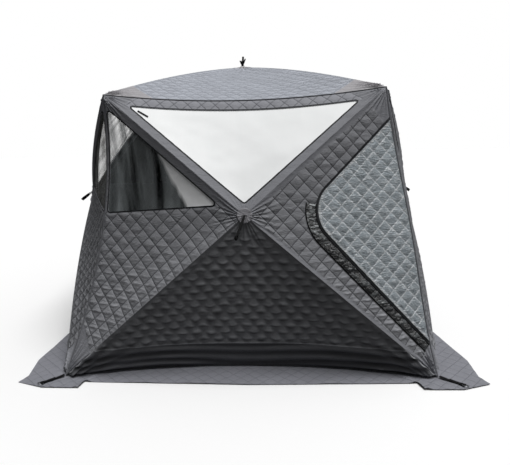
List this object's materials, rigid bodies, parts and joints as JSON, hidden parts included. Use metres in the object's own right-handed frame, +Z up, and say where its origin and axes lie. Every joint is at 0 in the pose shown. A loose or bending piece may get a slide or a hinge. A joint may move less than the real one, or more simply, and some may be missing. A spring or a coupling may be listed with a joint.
{
  "type": "sauna tent",
  "caption": "Pop-up square sauna tent: hub-and-pole faces, quilted gores, clear film windows, zipped corner door and ground skirt.",
  "frame": {"origin": "on the ground under the middle of the tent", "axes": "+Z up, -Y to the front with the door, +X to the right seen from the front"},
  "size_m": [2.9001, 2.9001, 2.2597],
  "materials": {
    "quilted_polyester": "quilted woven polyester",
    "silver_quilt": "silver-coated quilted polyester",
    "roof_polyester": "coated woven polyester, quilted",
    "skirt_polyester": "coated woven polyester",
    "plain_polyester": "bound woven polyester",
    "clear_film": "clear PVC film",
    "black_webbing": "woven polypropylene webbing",
    "glass_fibre": "pultruded glass fibre rod",
    "moulded_nylon": "injection-moulded nylon",
    "zip_nylon": "coated nylon tape",
    "steel": "plated steel",
    "silicone_cloth": "silicone-coated glass cloth"
  },
  "bodies": {
    "shell": {"back_left_window": "clear_film", "back_right_window": "clear_film", "back_top_window": "clear_film", "back_wall": "quilted_polyester", "chimney_port": "silicone_cloth", "ground_skirt": "skirt_polyester", "left_front_window": "clear_film", "left_rear_window": "clear_film", "left_top_window": "clear_film", "left_wall": "quilted_polyester", "peg_loop_back_left": "black_webbing", "peg_loop_back_right": "black_webbing", "peg_loop_front_left": "black_webbing", "peg_loop_front_right": "black_webbing", "right_wall": "quilted_polyester", "roof_canopy": "roof_polyester", "seam_bindings": "plain_polyester"},
    "front_hub": {"front_hub": "moulded_nylon"},
    "front_pole_top_left": {"front_pole_top_left": "glass_fibre"},
    "front_pole_top_right": {"front_pole_top_right": "glass_fibre"},
    "front_pole_bottom_right": {"front_pole_bottom_right": "glass_fibre"},
    "front_pole_bottom_left": {"front_pole_bottom_left": "glass_fibre"},
    "front_pull_strap": {"front_pull_strap": "black_webbing"},
    "right_hub": {"right_hub": "moulded_nylon"},
    "right_pole_top_left": {"right_pole_top_left": "glass_fibre"},
    "right_pole_top_right": {"right_pole_top_right": "glass_fibre"},
    "right_pole_bottom_right": {"right_pole_bottom_right": "glass_fibre"},
    "right_pole_bottom_left": {"right_pole_bottom_left": "glass_fibre"},
    "right_pull_strap": {"right_pull_strap": "black_webbing"},
    "back_hub": {"back_hub": "moulded_nylon"},
    "back_pole_top_left": {"back_pole_top_left": "glass_fibre"},
    "back_pole_top_right": {"back_pole_top_right": "glass_fibre"},
    "back_pole_bottom_right": {"back_pole_bottom_right": "glass_fibre"},
    "back_pole_bottom_left": {"back_pole_bottom_left": "glass_fibre"},
    "back_pull_strap": {"back_pull_strap": "black_webbing"},
    "left_hub": {"left_hub": "moulded_nylon"},
    "left_pole_top_left": {"left_pole_top_left": "glass_fibre"},
    "left_pole_top_right": {"left_pole_top_right": "glass_fibre"},
    "left_pole_bottom_right": {"left_pole_bottom_right": "glass_fibre"},
    "left_pole_bottom_left": {"left_pole_bottom_left": "glass_fibre"},
    "left_pull_strap": {"left_pull_strap": "black_webbing"},
    "roof_hub": {"roof_hub": "moulded_nylon"},
    "roof_pole_back_left": {"roof_pole_back_left": "glass_fibre"},
    "roof_pole_back_right": {"roof_pole_back_right": "glass_fibre"},
    "roof_pole_front_right": {"roof_pole_front_right": "glass_fibre"},
    "roof_pole_front_left": {"roof_pole_front_left": "glass_fibre"},
    "roof_pull_strap": {"roof_pull_strap": "black_webbing"},
    "front_top_gore": {"front_top_panel": "quilted_polyester", "front_top_window": "clear_film"},
    "front_right_gore": {"front_right_panel": "quilted_polyester", "door_zip": "zip_nylon", "storm_flap": "zip_nylon"},
    "front_bottom_gore": {"front_bottom_panel": "quilted_polyester"},
    "front_left_gore": {"front_left_panel": "quilted_polyester", "front_left_window": "clear_film"},
    "door": {"door_panel": "silver_quilt"},
    "zip_slider": {"zip_slider": "steel"},
    "zip_pull": {"zip_pull": "steel"},
    "door_tie": {"door_tie": "black_webbing"}
  },
  "joints": [
    {"name": "front_pop", "type": "slide", "parent": "shell", "child": "front_hub", "axis": [0, -0.991, 0.1341], "range_m": [-0.57, 0]},
    {"name": "front_pole_top_left_fold", "type": "hinge", "parent": "front_hub", "child": "front_pole_top_left", "pos_m": [-0.02266, -1.309, 1.09704], "axis": [0.6552, 0.1013, 0.7487], "range_deg": [-0.5, 26.64]},
    {"name": "front_pole_top_right_fold", "type": "hinge", "parent": "front_hub", "child": "front_pole_top_right", "pos_m": [0.02266, -1.309, 1.09704], "axis": [0.6552, -0.1013, -0.7487], "range_deg": [-0.5, 26.64]},
    {"name": "front_pole_bottom_right_fold", "type": "hinge", "parent": "front_hub", "child": "front_pole_bottom_right", "pos_m": [0.02266, -1.31427, 1.05808], "axis": [-0.6552, -0.1013, -0.7487], "range_deg": [-0.5, 21.23]},
    {"name": "front_pole_bottom_left_fold", "type": "hinge", "parent": "front_hub", "child": "front_pole_bottom_left", "pos_m": [-0.02266, -1.31427, 1.05808], "axis": [-0.6552, 0.1013, 0.7487], "range_deg": [-0.5, 21.23]},
    {"name": "front_pull_strap_swing", "type": "hinge", "parent": "front_hub", "child": "front_pull_strap", "pos_m": [0, -1.35774, 1.0838], "axis": [1, 0, 0], "range_deg": [-125, 40]},
    {"name": "right_pop", "type": "slide", "parent": "shell", "child": "right_hub", "axis": [0.991, 0, 0.1341], "range_m": [-0.57, 0], "deforming": ["right_wall"]},
    {"name": "right_pole_top_left_fold", "type": "hinge", "parent": "right_hub", "child": "right_pole_top_left", "pos_m": [1.309, -0.02266, 1.09704], "axis": [-0.1013, 0.6552, 0.7487], "range_deg": [-0.5, 26.64]},
    {"name": "right_pole_top_right_fold", "type": "hinge", "parent": "right_hub", "child": "right_pole_top_right", "pos_m": [1.309, 0.02266, 1.09704], "axis": [0.1013, 0.6552, -0.7487], "range_deg": [-0.5, 26.64]},
    {"name": "right_pole_bottom_right_fold", "type": "hinge", "parent": "right_hub", "child": "right_pole_bottom_right", "pos_m": [1.31427, 0.02266, 1.05808], "axis": [0.1013, -0.6552, -0.7487], "range_deg": [-0.5, 21.23]},
    {"name": "right_pole_bottom_left_fold", "type": "hinge", "parent": "right_hub", "child": "right_pole_bottom_left", "pos_m": [1.31427, -0.02266, 1.05808], "axis": [-0.1013, -0.6552, 0.7487], "range_deg": [-0.5, 21.23]},
    {"name": "right_pull_strap_swing", "type": "hinge", "parent": "right_hub", "child": "right_pull_strap", "pos_m": [1.35774, 0, 1.0838], "axis": [0, 1, 0], "range_deg": [-125, 40]},
    {"name": "back_pop", "type": "slide", "parent": "shell", "child": "back_hub", "axis": [0, 0.991, 0.1341], "range_m": [-0.57, 0], "deforming": ["back_wall", "back_top_window", "back_left_window", "back_right_window"]},
    {"name": "back_pole_top_left_fold", "type": "hinge", "parent": "back_hub", "child": "back_pole_top_left", "pos_m": [0.02266, 1.309, 1.09704], "axis": [-0.6552, -0.1013, 0.7487], "range_deg": [-0.5, 26.64]},
    {"name": "back_pole_top_right_fold", "type": "hinge", "parent": "back_hub", "child": "back_pole_top_right", "pos_m": [-0.02266, 1.309, 1.09704], "axis": [-0.6552, 0.1013, -0.7487], "range_deg": [-0.5, 26.64]},
    {"name": "back_pole_bottom_right_fold", "type": "hinge", "parent": "back_hub", "child": "back_pole_bottom_right", "pos_m": [-0.02266, 1.31427, 1.05808], "axis": [0.6552, 0.1013, -0.7487], "range_deg": [-0.5, 21.23]},
    {"name": "back_pole_bottom_left_fold", "type": "hinge", "parent": "back_hub", "child": "back_pole_bottom_left", "pos_m": [0.02266, 1.31427, 1.05808], "axis": [0.6552, -0.1013, 0.7487], "range_deg": [-0.5, 21.23]},
    {"name": "back_pull_strap_swing", "type": "hinge", "parent": "back_hub", "child": "back_pull_strap", "pos_m": [0, 1.35766, 1.08378], "axis": [-1, 0, 0], "range_deg": [-125, 40]},
    {"name": "left_pop", "type": "slide", "parent": "shell", "child": "left_hub", "axis": [-0.991, 0, 0.1341], "range_m": [-0.57, 0], "deforming": ["left_wall", "left_top_window", "left_front_window", "left_rear_window"]},
    {"name": "left_pole_top_left_fold", "type": "hinge", "parent": "left_hub", "child": "left_pole_top_left", "pos_m": [-1.309, 0.02266, 1.09704], "axis": [0.1013, -0.6552, 0.7487], "range_deg": [-0.5, 26.64]},
    {"name": "left_pole_top_right_fold", "type": "hinge", "parent": "left_hub", "child": "left_pole_top_right", "pos_m": [-1.309, -0.02266, 1.09704], "axis": [-0.1013, -0.6552, -0.7487], "range_deg": [-0.5, 26.64]},
    {"name": "left_pole_bottom_right_fold", "type": "hinge", "parent": "left_hub", "child": "left_pole_bottom_right", "pos_m": [-1.31427, -0.02266, 1.05808], "axis": [-0.1013, 0.6552, -0.7487], "range_deg": [-0.5, 21.23]},
    {"name": "left_pole_bottom_left_fold", "type": "hinge", "parent": "left_hub", "child": "left_pole_bottom_left", "pos_m": [-1.31427, 0.02266, 1.05808], "axis": [0.1013, 0.6552, 0.7487], "range_deg": [-0.5, 21.23]},
    {"name": "left_pull_strap_swing", "type": "hinge", "parent": "left_hub", "child": "left_pull_strap", "pos_m": [-1.35766, 0, 1.08378], "axis": [0, -1, 0], "range_deg": [-125, 40]},
    {"name": "roof_pop", "type": "slide", "parent": "shell", "child": "roof_hub", "axis": [0, 0, 1], "range_m": [-0.54, 0], "deforming": ["roof_canopy", "chimney_port"]},
    {"name": "roof_pole_back_left_fold", "type": "hinge", "parent": "roof_hub", "child": "roof_pole_back_left", "pos_m": [-0.02121, 0.02121, 2.09903], "axis": [0.7071, 0.7071, 0], "range_deg": [-0.5, 23.73]},
    {"name": "roof_pole_back_right_fold", "type": "hinge", "parent": "roof_hub", "child": "roof_pole_back_right", "pos_m": [0.02121, 0.02121, 2.09903], "axis": [0.7071, -0.7071, 0], "range_deg": [-0.5, 23.73]},
    {"name": "roof_pole_front_right_fold", "type": "hinge", "parent": "roof_hub", "child": "roof_pole_front_right", "pos_m": [0.02121, -0.02121, 2.09903], "axis": [-0.7071, -0.7071, 0], "range_deg": [-0.5, 23.73]},
    {"name": "roof_pole_front_left_fold", "type": "hinge", "parent": "roof_hub", "child": "roof_pole_front_left", "pos_m": [-0.02121, -0.02121, 2.09903], "axis": [-0.7071, 0.7071, 0], "range_deg": [-0.5, 23.73]},
    {"name": "roof_pull_strap_swing", "type": "hinge", "parent": "roof_hub", "child": "roof_pull_strap", "pos_m": [0, 0, 2.14474], "axis": [1, 0, 0], "range_deg": [-85, 85]},
    {"name": "front_top_fold", "type": "hinge", "parent": "shell", "child": "front_top_gore", "pos_m": [0.95, -0.95, 1.86], "axis": [-1, 0, 0], "range_deg": [-38.66, 0.5], "deforming": ["front_top_panel", "front_top_window"]},
    {"name": "front_right_fold", "type": "hinge", "parent": "shell", "child": "front_right_gore", "pos_m": [1.2, -1.1777, 0.00928], "axis": [-0.1329, 0.1329, 0.9822], "range_deg": [-30.83, 0.5], "deforming": ["front_right_panel"]},
    {"name": "front_bottom_fold", "type": "hinge", "parent": "shell", "child": "front_bottom_gore", "pos_m": [-1.2, -1.2, 0.0123], "axis": [1, 0, 0], "range_deg": [-31.13, 0.5], "deforming": ["front_bottom_panel"]},
    {"name": "front_left_fold", "type": "hinge", "parent": "shell", "child": "front_left_gore", "pos_m": [-0.95, -0.95, 1.86], "axis": [-0.1329, -0.1329, -0.9822], "range_deg": [-30.84, 0.5], "deforming": ["front_left_panel", "front_left_window"]},
    {"name": "door_swing", "type": "hinge", "parent": "front_right_gore", "child": "door", "pos_m": [1.1895, -1.1895, 0.0123], "axis": [-0.1329, 0.1329, 0.9822], "range_deg": [0, 105]},
    {"name": "zip_travel", "type": "slide", "parent": "front_right_gore", "child": "zip_slider", "axis": [-0.6742, -0.0815, 0.7341], "range_m": [0, 0.5], "deforming": ["door_zip"]},
    {"name": "zip_pull_swing", "type": "hinge", "parent": "zip_slider", "child": "zip_pull", "pos_m": [1.10577, -1.17588, 0.2742], "axis": [-0.6287, -0.4583, -0.6283], "range_deg": [0, 150]},
    {"name": "door_tie_swing", "type": "hinge", "parent": "shell", "child": "door_tie", "pos_m": [0.96541, -0.9274, 1.82871], "axis": [0, -1, 0], "range_deg": [0, 60]}
  ],
  "couplings": [
    {"joint": "front_pole_top_left_fold", "follows": "front_pop", "rad_per_m": -0.80049},
    {"joint": "front_pole_top_right_fold", "follows": "front_pop", "rad_per_m": -0.80049},
    {"joint": "front_pole_bottom_right_fold", "follows": "front_pop", "rad_per_m": -0.63467},
    {"joint": "front_pole_bottom_left_fold", "follows": "front_pop", "rad_per_m": -0.63467},
    {"joint": "right_pole_top_left_fold", "follows": "right_pop", "rad_per_m": -0.80049},
    {"joint": "right_pole_top_right_fold", "follows": "right_pop", "rad_per_m": -0.80049},
    {"joint": "right_pole_bottom_right_fold", "follows": "right_pop", "rad_per_m": -0.63467},
    {"joint": "right_pole_bottom_left_fold", "follows": "right_pop", "rad_per_m": -0.63467},
    {"joint": "back_pole_top_left_fold", "follows": "back_pop", "rad_per_m": -0.80049},
    {"joint": "back_pole_top_right_fold", "follows": "back_pop", "rad_per_m": -0.80049},
    {"joint": "back_pole_bottom_right_fold", "follows": "back_pop", "rad_per_m": -0.63467},
    {"joint": "back_pole_bottom_left_fold", "follows": "back_pop", "rad_per_m": -0.63467},
    {"joint": "left_pole_top_left_fold", "follows": "left_pop", "rad_per_m": -0.80049},
    {"joint": "left_pole_top_right_fold", "follows": "left_pop", "rad_per_m": -0.80049},
    {"joint": "left_pole_bottom_right_fold", "follows": "left_pop", "rad_per_m": -0.63467},
    {"joint": "left_pole_bottom_left_fold", "follows": "left_pop", "rad_per_m": -0.63467},
    {"joint": "roof_pole_back_left_fold", "follows": "roof_pop", "rad_per_m": -0.75086},
    {"joint": "roof_pole_back_right_fold", "follows": "roof_pop", "rad_per_m": -0.75086},
    {"joint": "roof_pole_front_right_fold", "follows": "roof_pop", "rad_per_m": -0.75086},
    {"joint": "roof_pole_front_left_fold", "follows": "roof_pop", "rad_per_m": -0.75086},
    {"joint": "front_top_fold", "follows": "front_pop", "rad_per_m": 1.1686},
    {"joint": "front_right_fold", "follows": "front_pop", "rad_per_m": 0.9287},
    {"joint": "front_bottom_fold", "follows": "front_pop", "rad_per_m": 0.93792},
    {"joint": "front_left_fold", "follows": "front_pop", "rad_per_m": 0.92908}
  ]
}
